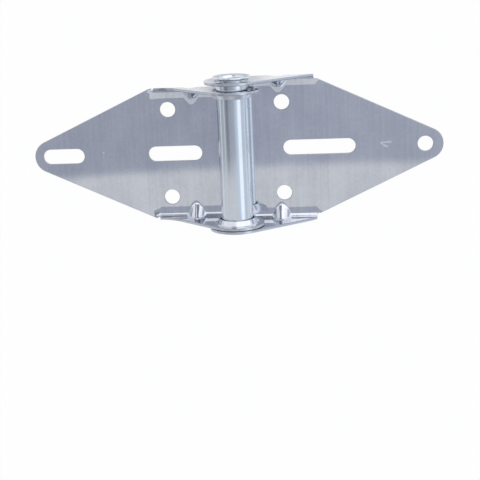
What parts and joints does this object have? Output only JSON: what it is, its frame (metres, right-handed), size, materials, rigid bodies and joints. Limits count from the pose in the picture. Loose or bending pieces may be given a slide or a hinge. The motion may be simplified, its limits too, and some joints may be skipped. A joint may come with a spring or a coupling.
{
  "type": "garage door hinge",
  "caption": "Pressed steel hinge joining sectional garage door panels: tapered, slotted leaves fold about a hollow flared pin carried in their flanged ears.",
  "frame": {"origin": "on the mounting plane of both leaves, below the middle of the pin", "axes": "+X from the pin towards the wide leaf's tip, +Y along the pin towards its bell-shaped head, +Z from the mounting plane towards the pin"},
  "size_m": [0.1905, 0.0715, 0.0283],
  "materials": {
    "wide_leaf_zinc": "zinc-plated sheet steel, smooth and bright, with faint vertical streaks",
    "narrow_leaf_zinc": "zinc-plated sheet steel, smooth and bright, with faint vertical streaks",
    "hinge_tube_zinc": "bright zinc-plated steel tube, drawn smooth along its length"
  },
  "bodies": {
    "wide_leaf": {"wide_leaf": "wide_leaf_zinc"},
    "narrow_leaf": {"narrow_leaf": "narrow_leaf_zinc"},
    "hinge_tube": {"hinge_tube": "hinge_tube_zinc"}
  },
  "joints": [
    {"name": "leaf_fold", "type": "hinge", "parent": "wide_leaf", "child": "narrow_leaf", "pos_m": [0, 0, 0.0158], "axis": [0, 1, 0], "range_deg": [-5, 195]},
    {"name": "tube_spin", "type": "hinge", "parent": "wide_leaf", "child": "hinge_tube", "pos_m": [0, 0, 0.0158], "axis": [0, 1, 0], "continuous": true}
  ]
}
